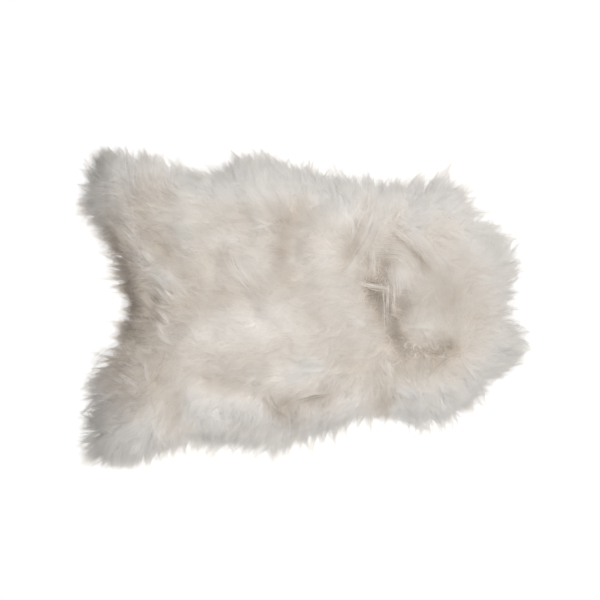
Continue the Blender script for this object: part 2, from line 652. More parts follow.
tuftX, tuftY = scatter(tufts["spacing"], tufts["stray"], -tufts["outside"], endless, tufts["seed"])
tuftRandom = np.random.default_rng(tufts["seed"] + 1)
tuftRim = 1 - smoothStep(readMap(insideMap, tuftX, tuftY), tufts["rimFrom"], tufts["rimTo"])
tuftStray = np.radians(tufts["turn"] + tufts["looseTurn"] * looseness(tuftX, tuftY, tuftRim))
tuftTurn = tuftStray * tuftRandom.normal(0, 1, len(tuftX)) + layAngle(tuftX, tuftY)
tuftLean = tuftRandom.normal(0, tufts["lean"], (len(tuftX), 2))
tuftOut = outlineAhead(tuftX, tuftY, tuftTurn) * tuftRandom.uniform(*tufts["rimLengths"], len(tuftX))
tuftLong = tufts["length"] * tuftRandom.uniform(*tufts["lengths"], len(tuftX))
tuftLong = tuftLong * (1 - tuftRim) + tuftOut * tuftRim
tuftTipX = tuftX + np.cos(tuftTurn) * tuftLong
tuftTipY = tuftY + np.sin(tuftTurn) * tuftLong
print(len(tuftX), "tufts")

# what the kinds of wisp share, and below it what each has of its own
wispBase = {
    "stray": 0.45,
    "least": 0.003,         # nearest to the hide's edge
    "most": endless,        # and farthest in from it
    "rimFrom": 0.004,       # as for the tufts
    "rimTo": 0.038,
    "tipSpread": 1.0,       # how wide a wisp still is at its point
    "follow": 1.0,          # how far it takes its tuft's direction, times the next two
    "keep": 0.6,
    "looseKeep": 0.35,      # more where the wool parts or meets
    "looseTurn": 15.0,      # degrees that it strays more there
    "restTurn": 18.0,       # and where the wool is restless
    "reach": 1.05,          # length at the rim, as part of the way to the outline
    "slant": 1.5,           # most that the way there is, as part of the straight way out
    "pastCurve": 1.5,       # the higher, the fewer that go far past the outline
    "rimRest": 0.5,         # how much less it strays and goes past there in restless wool
    "long": 1.0,            # length inside, as part of its tuft's
    "lengths": (0.72, 1.20),
    "looseShort": 0.35,
    "gather": 1.0,          # how far it draws in to its tuft's point
    "dips": 1.0,            # how far it keeps to the dents in the outline
    "crown": 0.7,           # height over a tuft's middle, as part of its dome
    "fall": 1.6,            # and how far it is lower at the sides
    "uneven": 0.0008,
    "bow": 0.004,
    "drift": 0.007,         # bow that it shares with its neighbours
    "driftSize": 0.08,
    "driftSeed": 8,
    "rimUpright": 0.45,     # how much less it leans at the rim
    "lean": 0.05,
    "rimLean": 0.05,
    "restLean": 0.14,
    "restTint": 2.0,
    "shade": 2.6,           # its shade differs by this much more than its tint
    "restShade": 7.0,
    "narrow": 0.65,         # how much narrower it is in restless wool
    "rimNarrow": 0.8,       # and how little of that is left at the rim
    "point": 0.0,           # how far its outer hairs are shortened
}
wispKinds = {
    "coat": {"spacing": 0.0105, "seed": 21, "spread": 0.0078, "tipSpread": 0.85, "turn": 11.0,
             "reach": 1.03, "past": 0.018, "tint": 0.016},
    "under": {"spacing": 0.0085, "seed": 61, "spread": 0.0080, "turn": 34.0, "looseTurn": 150.0,
              "follow": 0.3, "reach": 0.94, "past": 0.010, "long": 0.75, "gather": 0.0, "tint": 0.012},
    "rim": {"spacing": 0.0085, "most": 0.042, "seed": 31, "spread": 0.0046, "tipSpread": 0.16,
            "turn": 22.0, "past": 0.026, "bow": 0.007, "point": 0.3, "gather": 0.6, "dips": 0.7,
            "tint": 0.020},
    "spike": {"spacing": 0.0088, "most": 0.024, "seed": 41, "spread": 0.0032, "tipSpread": 0.06,
              "turn": 26.0, "past": 0.040, "bow": 0.008, "gather": 0.3, "dips": 0.45, "tint": 0.024},
    "loose": {"spacing": 0.0150, "seed": 51, "spread": 0.0020, "tipSpread": 0.40, "turn": 24.0,
              "looseTurn": 30.0, "reach": 1.02, "past": 0.024, "long": 1.35, "bow": 0.010,
              "dips": 0.8, "tint": 0.042},
}
wisps = {name: {**wispBase, **own} for name, own in wispKinds.items()}


def makeWisps(look):
    x, y = scatter(look["spacing"], look["stray"], look["least"], look["most"], look["seed"])
    random = np.random.default_rng(look["seed"] + 1)
    count = len(x)
    tuft = nearest(x, y, tuftX, tuftY)
    fromX = x - tuftX[tuft]
    fromY = y - tuftY[tuft]
    rim = 1 - smoothStep(readMap(insideMap, x, y), look["rimFrom"], look["rimTo"])
    loose = looseness(x, y, rim)
    rest = readMap(restMap, x, y)
    heading = layAngle(x, y)
    keep = (look["keep"] + look["looseKeep"] * loose) * look["follow"]
    heading = heading + turned(tuftTurn[tuft] - heading) * keep
    stray = look["turn"] * (1 - look["rimRest"] * rest * rim) + look["looseTurn"] * loose
    stray = stray + look["restTurn"] * rest * (1 - rim)
    heading = heading + np.radians(stray) * random.normal(0, 1, count)
    outward = np.arctan2(readMap(outY, x, y), readMap(outX, x, y))
    straight = outlineAhead(x, y, outward, look["dips"])
    past = look["past"] * random.uniform(0, 1, count) ** look["pastCurve"] * (1 - look["rimRest"] * rest)
    out = np.minimum(outlineAhead(x, y, heading, look["dips"]), straight * look["slant"])
    out = out * look["reach"] + past
    long = look["long"] * tuftLong[tuft] * random.uniform(*look["lengths"], count)
    long = long * (1 - look["looseShort"] * loose) * (1 - rim) + out * rim
    gather = (tufts["gather"] * (1 - rim) + tufts["rimGather"] * rim) * look["gather"]
    tipX = (x + np.cos(heading) * long) * (1 - gather) + tuftTipX[tuft] * gather
    tipY = (y + np.sin(heading) * long) * (1 - gather) + tuftTipY[tuft] * gather
    away = np.hypot(fromX, fromY) / tufts["spacing"]
    lift = tufts["dome"] * (look["crown"] - look["fall"] * away) + random.normal(0, look["uneven"], count)
    bow = random.normal(0, 1, count) * look["bow"] * (1 + rest * (1 - rim))
    bow = bow + look["drift"] * waves(x, y, look["driftSeed"], look["driftSize"])
    lean = np.stack([fromX, fromY], axis=1) / tufts["spacing"] * tufts["round"] + tuftLean[tuft]
    lolling = look["lean"] + look["restLean"] * rest + look["rimLean"] * rim
    lean = lean * (1 - look["rimUpright"] * rim)[:, None]
    lean = lean + random.normal(0, 1, (count, 2)) * lolling[:, None]
    tint = random.normal(0, 1, count) * look["tint"] * (1 + look["restTint"] * rest)
    shade = random.normal(0, 1, count) * look["tint"] * (look["shade"] + look["restShade"] * rest)
    print(count, "wisps")
    return {
        "root": np.stack([x, y], axis=1),
        "tip": np.stack([tipX, tipY], axis=1),
        "rim": rim,
        "lift": lift,
        "bow": bow,
        "lean": lean,
        "tint": tint,
        "shade": shade,
        "narrow": 1 - look["narrow"] * rest * look["gather"] * (1 - look["rimNarrow"] * rim),
    }


wispSets = {name: makeWisps(look) for name, look in wisps.items()}

# tint of the wool: 0 grey, 0.3 palest, 0.5 ivory, 0.8 tan, 1 brown
tints = {
    "rim": 0.26,
    "inside": 0.22,         # more than that away from the rim
    "insideFrom": 0.01,     # between these depths in from the hide's edge
    "insideTo": 0.12,
    "wander": 0.05,
    "wanderSize": 0.10,
    "wanderSeed": 31,
    "palest": 0.26,
    "palestInside": 0.35,
    "palestFrom": 0.02,
    "palestTo": 0.10,
}


def warmth(x, y):
    inside = readMap(insideMap, x, y)
    warm = tints["rim"] + tints["inside"] * smoothStep(inside, tints["insideFrom"], tints["insideTo"])
    warm = warm + readMap(warmMap, x, y)
    warm = warm + tints["wander"] * waves(x, y, tints["wanderSeed"], tints["wanderSize"])
    deep = smoothStep(inside, tints["palestFrom"], tints["palestTo"])
    palest = tints["palest"] + (tints["palestInside"] - tints["palest"]) * deep
    return np.maximum(warm, palest)


pastBox = 0.013             # no hair ends further than this past the frame's box
shortest = 0.80             # what is left of a hair that would, as part of the way to there
boxLow = np.array(lowCorner[:2]) - pastBox
boxHigh = np.array(highCorner[:2]) + pastBox


def shortened(root, tip, random):
    run = tip - root
    limit = np.where(run > 0, boxHigh, boxLow)
    part = ((limit - root) / np.where(np.abs(run) < 1e-9, 1e-9, run)).min(axis=1)
    cut = np.where(part < 1, part * random.uniform(shortest, 1.0, len(root)), 1.0)
    return root + run * cut[:, None]


# what the coats share, and below it what each has of its own
coatBase = {
    "levels": 4,
    "short": 0.62,          # shortest hair, as part of its wisp
    "long": 1.06,           # and longest
    "rim": False,           # True grows at the rim only
    "rimLess": 0.35,        # how much thinner another coat is at the rim
    "sparse": 0.0,          # and in restless wool
    "fewest": 0.02,         # a wisp with a smaller share than this has no hairs
    "rimSpread": 0.40,      # most that a wisp spreads at the rim
    "wild": 0.0,            # part of the hairs that grow on past their wisp
    "wildLong": 1.1,
    "wildCurve": 1.2,
    "wildThin": 0.65,
    "stray": 0.07,          # part of the hairs that lie astray
    "strayEnd": 0.009,      # how far their ends do
    "end": 0.0014,          # and those of the others
    "strayLift": 0.003,
    "strayFrizz": 0.0014,
    "frizz": 0.0004,
    "uneven": 0.0010,
    "bow": 0.0020,
    "depths": (0.012, 0.022),
    "widths": (0.7, 1.3),
    "tint": 0.016,
    "shade": 0.040,
}

# low and high are levels in the wool's height, and half is half a hair's width
coats = {
    "rimLocks": {"wisps": "coat", "hairs": 24000, "seed": 101, "low": 0.04, "high": 0.94,
                 "half": 0.00034, "short": 0.50, "wild": 0.02, "rim": True},
    "rimWisps": {"wisps": "rim", "hairs": 15000, "seed": 102, "low": 0.10, "high": 1.02,
                 "half": 0.00026, "short": 0.58, "levels": 5, "wild": 0.20, "rim": True},
    "rimSpikes": {"wisps": "spike", "hairs": 18000, "seed": 106, "low": 0.25, "high": 0.85,
                  "half": 0.00024, "short": 0.78, "levels": 5, "wild": 0.50, "rim": True},
    "underCoat": {"wisps": "under", "hairs": 38000, "seed": 103, "low": 0.84, "high": 0.95,
                  "half": 0.00068, "sparse": 0.4},
    "topCoat": {"wisps": "coat", "hairs": 38000, "seed": 104, "low": 0.88, "high": 1.00,
                "half": 0.00040, "sparse": 0.2},
    "longHairs": {"wisps": "loose", "hairs": 17000, "seed": 105, "low": 0.95, "high": 1.04,
                  "half": 0.00026, "levels": 6},
}


def growCoat(name, coat):
    look = wisps[coat["wisps"]]
    made = wispSets[coat["wisps"]]
    random = np.random.default_rng(coat["seed"])
    share = made["rim"] if coat["rim"] else 1.0 - coat["rimLess"] * made["rim"]
    share = share * (1 - coat["sparse"] * readMap(restMap, made["root"][:, 0], made["root"][:, 1]))
    share = np.where(share > coat["fewest"], share, 0)
    owner = random.choice(len(share), coat["hairs"], p=share / share.sum())
    count = len(owner)
    rim = made["rim"][owner]
    angle = random.uniform(0, 2 * math.pi, count)
    far = np.sqrt(random.uniform(0, 1, count))
    offset = np.stack([np.cos(angle), np.sin(angle)], axis=1) * far[:, None] * look["spread"]
    offset = offset * made["narrow"][owner][:, None]
    root = made["root"][owner] + offset
    spread = look["tipSpread"] * (1 - rim) + min(look["tipSpread"], coat["rimSpread"]) * rim
    tip = made["tip"][owner] + offset * spread[:, None]
    part = random.uniform(coat["short"], coat["long"], count) * (1 - look["point"] * rim * far ** 2)
    wild = random.uniform(0, 1, count) < coat["wild"]
    part = part + np.where(wild, random.uniform(0, coat["wildLong"], count) ** coat["wildCurve"], 0)
    tip = root + (tip - root) * part[:, None]
    stray = random.uniform(0, 1, count) < coat["stray"]
    end = np.where(stray, coat["strayEnd"], coat["end"])
    tip = shortened(root, tip + random.normal(0, 1, (count, 2)) * end[:, None], random)
    level = random.uniform(coat["low"], coat["high"], count)
    lift = made["lift"][owner] + random.normal(0, coat["uneven"], count)
    lift = lift + np.where(stray, coat["strayLift"], 0.0)
    bow = made["bow"][owner] + random.normal(0, coat["bow"], count)
    depth = random.uniform(*coat["depths"], count)
    frizz = np.where(stray, coat["strayFrizz"], coat["frizz"])
    paths = growPaths(root, tip, level, lift, bow, depth, frizz, coat["levels"], random)
    half = coat["half"] * random.uniform(*coat["widths"], count) * np.where(wild, coat["wildThin"], 1.0)
    tint = warmth(paths[:, :, 0], paths[:, :, 1])
    tint = tint + (made["tint"][owner] + random.normal(0, coat["tint"], count))[:, None]
    shade = made["shade"][owner] + random.normal(0, coat["shade"], count)
    return hairObject(name, paths, half, tint, shade, made["lean"][owner], random)


strandLook = {
    "levels": 8,
    "half": 0.00025,
    "widths": (0.7, 1.2),
    "share": 0.8,           # of the hairs in the table
    "loose": 2.4,           # times the spread in the table
    "starts": (-0.15, 0.30),        # along the way from one end to the other
    "ends": (0.65, 1.06),
    "drift": 0.002,
    "bow": 0.0020,
    "close": 0.5,           # how far it draws in towards its end
    "under": 0.006,         # depth from which a strand comes up
    "underWay": 0.22,       # and the part of its length in which it does
    "rise": 0.0016,
    "rises": (-0.6, 1.2),
    "lowest": 0.0015,
    "middle": 0.42,         # warmth in the table that gives the tint of the wool beside it
    "vivid": 0.80,
    "tint": 0.03,
    "seed": 301,
}

# strands that lie across the coat, and long wisps past its edge
# place, from x, y, to x, y, bow, spread, hairs, warmth
strands = (
    ("crossing upper", 0.13, 0.056, 0.196, 0.047, -0.003, 0.0024, 40, 0.05),
    ("crossing lower", 0.14, 0.05, 0.195, 0.043, -0.004, 0.0022, 18, 0.15),
    ("parting left", 0.177, 0.044, 0.181, -0.05, 0.002, 0.0024, 18, 0.05),
    ("parting middle", 0.191, 0.044, 0.192, -0.052, -0.002, 0.0024, 18, 0.0),
    ("parting right", 0.203, 0.042, 0.197, -0.03, 0.003, 0.003, 18, 0.05),
    ("single over arch", 0.155, 0.134, 0.155, 0.064, 0.001, 0.0012, 16, 0.2),
    ("warm by arch", 0.144, 0.124, 0.142, 0.083, 0.002, 0.0026, 24, 0.7),
    ("arch inner", 0.165, 0.118, 0.246, 0.048, 0.03, 0.007, 60, 0.38),
    ("arch outer", 0.15, 0.122, 0.273, 0.054, 0.036, 0.0066, 60, 0.32),
    ("arch shade", 0.16, 0.116, 0.258, 0.052, 0.032, 0.0036, 24, 0.68),
    ("arch brow", 0.17, 0.142, 0.262, 0.1, 0.016, 0.006, 80, 0.36),
    ("arch lobe", 0.194, 0.09, 0.209, 0.018, 0.004, 0.008, 90, 0.24),
    ("lobe right", 0.214, 0.088, 0.236, 0.03, 0.006, 0.006, 70, 0.34),
    ("cheek band", 0.206, 0.18, 0.304, 0.082, 0.006, 0.007, 110, 0.26),
    ("cheek pale", 0.24, 0.176, 0.302, 0.11, 0.008, 0.006, 90, 0.3),
    ("cheek edge", 0.216, 0.202, 0.276, 0.16, 0.004, 0.005, 60, 0.18),
    ("cheek dark", 0.214, 0.168, 0.29, 0.09, 0.004, 0.0046, 26, 0.66),
    ("shoulder sweep", 0.16, 0.206, 0.104, 0.1, 0.008, 0.008, 120, 0.3),
    ("shoulder side", 0.14, 0.2, 0.096, 0.11, 0.006, 0.006, 70, 0.34),
    ("shoulder point", 0.124, 0.116, 0.086, 0.072, 0.002, 0.004, 60, 0.2),
    ("shoulder thin", 0.11, 0.184, 0.106, 0.148, 0.002, 0.0014, 18, 0.16),
    ("right dark", 0.327, 0.106, 0.384, 0.108, 0.002, 0.0022, 16, 0.66),
    ("right dark low", 0.394, 0.048, 0.44, 0.052, 0.002, 0.002, 14, 0.66),
    ("right pale", 0.39, 0.052, 0.446, 0.057, 0.002, 0.0024, 30, 0.16),
    ("streak to parting", 0.104, -0.029, 0.144, -0.044, 0.003, 0.005, 50, 0.18),
    ("streak by parting", 0.088, -0.014, 0.136, -0.048, 0.004, 0.005, 50, 0.24),
    ("below parting", 0.179, -0.12, 0.2, -0.166, 0.003, 0.005, 60, 0.18),
    ("below tangle", 0.214, -0.182, 0.266, -0.221, 0.004, 0.007, 80, 0.17),
    ("tangle arc", 0.236, -0.044, 0.3, -0.048, 0.006, 0.0024, 36, 0.24),
    ("tangle dark", 0.286, -0.056, 0.336, -0.092, 0.014, 0.0022, 14, 0.7),
    ("tangle dark low", 0.28, -0.098, 0.334, -0.1, -0.004, 0.0026, 12, 0.68),
    ("tangle sweep", 0.284, -0.156, 0.372, -0.1, 0.012, 0.0026, 12, 0.64),
    ("back strands a", -0.17, 0.116, -0.118, 0.036, -0.006, 0.0034, 30, 0.2),
    ("back strands b", -0.158, 0.118, -0.094, 0.03, -0.007, 0.0042, 34, 0.28),
    ("back strands c", -0.182, 0.108, -0.136, 0.048, -0.005, 0.0034, 24, 0.24),
    ("back shade", -0.164, 0.114, -0.112, 0.038, -0.006, 0.0026, 12, 0.78),
    ("back line upper", -0.124, 0.179, -0.074, 0.192, -0.003, 0.0022, 28, 0.2),
    ("back line lower", -0.115, 0.206, -0.074, 0.186, -0.003, 0.0022, 28, 0.24),
    ("back dark line", -0.181, 0.195, -0.124, 0.204, -0.003, 0.002, 14, 0.7),
    ("notch a", -0.309, 0.042, -0.366, 0.082, -0.005, 0.003, 70, 0.2),
    ("notch b", -0.316, 0.02, -0.35, 0.052, -0.004, 0.002, 44, 0.16),
    ("notch c", -0.343, 0.104, -0.384, 0.132, -0.004, 0.003, 50, 0.2),
    ("notch d", -0.352, 0.001, -0.381, 0.028, -0.003, 0.0022, 40, 0.22),
    ("notch e", -0.309, -0.034, -0.343, 0.001, -0.004, 0.0022, 50, 0.1),
    ("notch f", -0.32, -0.058, -0.354, -0.022, -0.004, 0.0022, 46, 0.14),
    ("notch g", -0.302, -0.084, -0.338, -0.067, -0.003, 0.0026, 40, 0.18),
    ("notch h", -0.368, -0.103, -0.412, -0.079, -0.004, 0.0036, 40, 0.32),
    ("notch dark a", -0.312, 0.036, -0.362, 0.072, -0.005, 0.005, 18, 0.74),
    ("notch dark b", -0.33, 0.008, -0.366, 0.04, -0.004, 0.005, 18, 0.74),
    ("notch dark c", -0.326, -0.046, -0.356, -0.012, -0.004, 0.005, 16, 0.74),
    ("lower leg a", -0.382, -0.181, -0.436, -0.145, -0.003, 0.003, 44, 0.2),
    ("lower leg b", -0.354, -0.176, -0.361, -0.114, 0.003, 0.0022, 30, 0.22),
    ("lower leg c", -0.359, -0.135, -0.393, -0.099, -0.003, 0.003, 36, 0.3),
    ("lower leg dark", -0.372, -0.176, -0.428, -0.138, -0.003, 0.004, 14, 0.68),
    ("upper leg dark", -0.309, 0.254, -0.348, 0.275, -0.002, 0.0022, 12, 0.7),
    ("upper leg fine", -0.437, 0.187, -0.478, 0.203, -0.002, 0.0016, 20, 0.16),
    ("leg seam a", -0.322, -0.116, -0.354, -0.178, -0.006, 0.01, 90, 0.4),
    ("leg seam b", -0.298, -0.122, -0.322, -0.176, -0.006, 0.008, 70, 0.38),
    ("belly pale a", 0.044, -0.124, -0.022, -0.121, 0.003, 0.005, 60, 0.16),
    ("belly pale b", 0.042, -0.142, -0.036, -0.137, 0.003, 0.004, 50, 0.18),
    ("belly pale c", 0.005, -0.166, -0.05, -0.155, 0.003, 0.005, 50, 0.16),
    ("belly dark a", -0.13, -0.172, -0.158, -0.155, 0.002, 0.0018, 10, 0.7),
    ("belly dark b", -0.072, -0.132, -0.11, -0.121, 0.002, 0.0018, 10, 0.7),
    ("fold dark", 0.054, -0.199, -0.026, -0.219, -0.003, 0.0034, 24, 0.68),
    ("fold pale", 0.05, -0.192, -0.02, -0.212, -0.003, 0.003, 40, 0.18),
    ("curve pale", -0.092, -0.186, -0.03, -0.246, -0.012, 0.0044, 24, 0.26),
    ("curve dark", -0.084, -0.2, -0.026, -0.258, -0.012, 0.005, 24, 0.66),
    ("under edge a", 0.19, -0.228, 0.292, -0.282, -0.008, 0.005, 80, 0.2),
    ("under edge b", 0.214, -0.246, 0.332, -0.288, -0.006, 0.006, 40, 0.22),
    ("under edge c", 0.204, -0.216, 0.25, -0.258, -0.004, 0.006, 60, 0.14),
    ("neck a", 0.462, -0.004, 0.516, -0.014, 0.004, 0.003, 16, 0.2),
    ("neck b", 0.466, -0.029, 0.509, -0.042, -0.004, 0.003, 14, 0.2),
    ("neck c", 0.476, -0.045, 0.528, -0.064, 0.005, 0.0036, 18, 0.22),
    ("neck d", 0.48, -0.078, 0.531, -0.096, 0.005, 0.0034, 18, 0.24),
    ("neck e", 0.47, -0.133, 0.514, -0.125, -0.004, 0.003, 20, 0.2),
    ("neck f", 0.446, -0.136, 0.48, -0.152, -0.003, 0.004, 22, 0.2),
    ("neck g", 0.474, 0.08, 0.527, 0.073, 0.004, 0.0024, 10, 0.2),
    ("neck h", 0.456, 0.098, 0.504, 0.114, -0.004, 0.003, 16, 0.24),
    ("upper leg point", -0.455, 0.23, -0.531, 0.239, 0.002, 0.0065, 150, 0.48),
    ("upper leg under", -0.44, 0.2, -0.505, 0.222, 0.004, 0.01, 90, 0.46),
    ("lower leg point", -0.45, -0.262, -0.522, -0.282, -0.003, 0.01, 120, 0.46),
    ("lower leg side", -0.436, -0.172, -0.508, -0.19, -0.003, 0.011, 90, 0.46),
    ("throat tuft", 0.262, -0.228, 0.304, -0.276, -0.004, 0.011, 70, 0.4),
    ("hip tuft", -0.3, 0.272, -0.311, 0.332, 0.002, 0.011, 60, 0.42),
    ("head tuft", 0.146, 0.262, 0.154, 0.312, 0.003, 0.01, 50, 0.38),
    ("left wisps a", -0.44, -0.08, -0.503, -0.141, -0.008, 0.006, 26, 0.12),
    ("left wisps b", -0.45, -0.098, -0.499, -0.166, -0.008, 0.006, 26, 0.12),
)


def strandObject(name, look, paths, tint, random):
    # strands shade themselves, so they have no shade and no lean of their own
    paths = np.concatenate(paths)
    count = len(paths)
    half = look["half"] * random.uniform(*look["widths"], count)
    return hairObject(name, paths, half, tint, np.zeros(count), np.zeros((count, 2)), random)


def layStrands():
    look = strandLook
    random = np.random.default_rng(look["seed"])
    steps = np.linspace(0, 1, look["levels"])
    paths = []
    tints = []
    for _, ax, ay, bx, by, bow, spread, hairs, warm in strands:
        hairs = int(hairs * look["share"])
        start = np.array([ax, ay])
        run = np.array([bx - ax, by - ay])
        aside = np.array([-run[1], run[0]]) / np.hypot(*run)
        offset = random.normal(0, 0.5, hairs) * spread * look["loose"]
        first = random.uniform(*look["starts"], hairs)
        last = random.uniform(*look["ends"], hairs)
        drift = random.normal(0, 0.5, hairs) * (spread + look["drift"])
        along = first[:, None] + (last - first)[:, None] * steps
        arch = np.sin(np.pi * np.clip(along, 0, 1)) * (bow + random.normal(0, look["bow"], hairs))[:, None]
        close = 1 - look["close"] * along ** 2
        across = arch + offset[:, None] * close + drift[:, None] * along
        plan = start + run * along[:, :, None] + aside * across[:, :, None]
        made = np.empty((hairs, len(steps), 3))
        made[:, :, :2] = plan
        top = readMap(bridgeMap, plan[:, :, 0], plan[:, :, 1])
        rise = look["rise"] * random.uniform(*look["rises"], hairs)[:, None] * np.sin(np.pi * steps)
        sink = look["under"] * (1 - np.clip(steps / look["underWay"], 0, 1)) ** 2
        made[:, :, 2] = np.maximum(top + rise - sink, look["lowest"])
        paths.append(made)
        local = warmth(plan[:, :, 0], plan[:, :, 1]) + (warm - look["middle"]) * look["vivid"]
        tints.append(local + random.normal(0, look["tint"], (hairs, 1)))
    return strandObject("crossStrands", look, paths, np.concatenate(tints), random)


curlLook = {
    "levels": 11,
    "half": 0.00024,
    "widths": (0.7, 1.2),
    "sizes": (0.65, 1.35),  # of the radius in the table
    "tighten": 0.35,        # how much smaller a curl is at its end
    "starts": 0.50,         # radians by which its hairs' starts differ
    "turns": (0.6, 1.2),    # of those in the table
    "oval": (0.8, 1.3),
    "spread": 0.0018,
    "rise": 0.0026,
    "rises": (0.5, 1.2),
    "riseTo": 0.8,          # part of half a wave
    "under": 0.004,         # depth of its root
    "tint": 0.05,
    "seed": 401,
}

# curly ends in the tangle: place, x, y, radius, start in degrees, turns, hairs, warmth
curls = (
    ("left bow", 0.252, -0.091, 0.0064, 70, 0.5, 9, 0.34),
    ("small left", 0.263, -0.089, 0.004, 150, 0.8, 7, 0.4),
    ("small middle", 0.272, -0.086, 0.0044, 20, 0.7, 7, 0.36),
    ("top middle", 0.283, -0.084, 0.005, 200, -0.6, 7, 0.44),
    ("low left", 0.256, -0.109, 0.005, 100, 0.6, 7, 0.42),
    ("low middle", 0.274, -0.11, 0.0048, 300, 0.6, 6, 0.36),
    ("right middle", 0.296, -0.091, 0.0054, 60, -0.6, 7, 0.5),
    ("dark arc", 0.306, -0.082, 0.015, 100, -0.34, 8, 0.7),
    ("dark hook", 0.334, -0.094, 0.008, 40, -0.5, 8, 0.74),
    ("dark foot", 0.344, -0.112, 0.009, 160, -0.36, 6, 0.7),
    ("pale loop", 0.312, -0.106, 0.008, 220, 0.45, 8, 0.32),
    ("upper small", 0.276, -0.066, 0.008, 20, 0.4, 8, 0.36),
    ("warm stem", 0.236, -0.088, 0.009, 120, 0.3, 10, 0.56),
    ("warm stem low", 0.24, -0.106, 0.007, 150, 0.4, 8, 0.58),
)


def layCurls():
    look = curlLook
    random = np.random.default_rng(look["seed"])
    steps = np.linspace(0, 1, look["levels"])
    paths = []
    tints = []
    for _, cx, cy, radius, start, turns, hairs, warm in curls:
        size = radius * random.uniform(*look["sizes"], hairs)[:, None] * (1 - look["tighten"] * steps)
        angle = math.radians(start) + random.normal(0, look["starts"], hairs)[:, None]
        angle = angle + turns * random.uniform(*look["turns"], hairs)[:, None] * 2 * math.pi * steps
        middle = random.normal(0, look["spread"], (hairs, 2))
        made = np.empty((hairs, len(steps), 3))
        oval = random.uniform(*look["oval"], hairs)[:, None]
        made[:, :, 0] = cx + middle[:, :1] + size * np.cos(angle) * oval
        made[:, :, 1] = cy + middle[:, 1:] + size * np.sin(angle)
        arch = np.sin(np.pi * steps * look["riseTo"])
        rise = look["rise"] * random.uniform(*look["rises"], hairs)[:, None] * arch
        made[:, :, 2] = readMap(bridgeMap, made[:, :, 0], made[:, :, 1]) + rise
        made[:, 0, 2] -= look["under"]
        paths.append(made)
        tints.append(warm + random.normal(0, look["tint"], hairs))
    tint = np.repeat(np.concatenate(tints)[:, None], len(steps), axis=1)
    return strandObject("curlyEnds", look, paths, tint, random)


# the wool's colour by tint, and how much of it is left by light
woolLook = {
    "tints": (
        (0.00, (0.680, 0.668, 0.645)),
        (0.18, (0.898, 0.878, 0.848)),
        (0.34, (0.950, 0.912, 0.862)),
        (0.52, (0.874, 0.820, 0.754)),
        (0.78, (0.735, 0.653, 0.565)),
        (1.00, (0.390, 0.328, 0.270)),
    ),
    "light": (
        (0.00, (0.450, 0.450, 0.450)),
        (0.96, (1.000, 1.000, 1.000)),
    ),
    "roughness": 0.62,
    "sheen": 0.15,
    "specular": 0.2,
}


def newMaterial(name):
    material = bpy.data.materials.new(name)
    material.use_nodes = True
    return material, material.node_tree.nodes, material.node_tree.links


def ramp(nodes, stops):
    node = nodes.new("ShaderNodeValToRGB")
    while len(node.color_ramp.elements) < len(stops):
        node.color_ramp.elements.new(0.5)
    for element, (place, colour) in zip(node.color_ramp.elements, stops):
        element.position = place
        element.color = (*colour, 1)
    return node


def woolMaterial():
    material, nodes, links = newMaterial("longWool")
    shader = nodes["Principled BSDF"]
    uv = nodes.new("ShaderNodeUVMap")
    uv.uv_map = "OFBake"
    split = nodes.new("ShaderNodeSeparateXYZ")
    colour = ramp(nodes, woolLook["tints"])
    light = ramp(nodes, woolLook["light"])
    mix = nodes.new("ShaderNodeMix")
    mix.data_type = "RGBA"
    mix.blend_type = "MULTIPLY"
    mix.inputs["Factor"].default_value = 1.0
    links.new(uv.outputs["UV"], split.inputs[0])
    links.new(split.outputs["X"], colour.inputs["Fac"])
    links.new(split.outputs["Y"], light.inputs["Fac"])
    links.new(colour.outputs["Color"], mix.inputs["A"])
    links.new(light.outputs["Color"], mix.inputs["B"])
    links.new(mix.outputs["Result"], shader.inputs["Base Color"])
    shader.inputs["Roughness"].default_value = woolLook["roughness"]
    shader.inputs["Sheen Weight"].default_value = woolLook["sheen"]
    shader.inputs["Specular IOR Level"].default_value = woolLook["specular"]
    return material


flatter = 0.62              # keeps the cells of the grid below about square


def discGrid(mesh, cellsX, cellsY, past):
    # a grid of quads rounded to the hide's outline
    bmesh.ops.create_grid(mesh, x_segments=cellsX, y_segments=cellsY, size=1.0)
    for vert in mesh.verts:
        x, y = vert.co.x, vert.co.y
        u = x * math.sqrt(max(1 - y * y / 2, 0))
        v = y * math.sqrt(max(1 - x * x / 2, 0))
        angle = math.atan2(v * flatter, u)
        far = (float(hideRadius(angle)) + past) * math.hypot(u, v)
        vert.co = (math.cos(angle) * far, math.sin(angle) * far, 0)


def meshObject(name, mesh, material):
    data = bpy.data.meshes.new(name)
    mesh.to_mesh(data)
    mesh.free()
    data.shade_smooth()
    data.materials.append(material)
    made = bpy.data.objects.new(name, data)
    bpy.context.scene.collection.objects.link(made)
    print(name, len(data.polygons), "faces")
    return made


# the tanned skin, flat on the floor
hide = {
    "cellsX": 60,
    "cellsY": 42,
    "thick": 0.0018,
    "clear": 0.0003,        # above the floor
    "colours": ((0.3, (0.60, 0.50, 0.39)), (0.7, (0.76, 0.67, 0.56))),
    "grain": 60,
    "grainDetail": 6,
    "grainBump": 0.4,
    "grainDeep": 0.0006,
    "roughness": 0.95,
    "specular": 0.2,
}


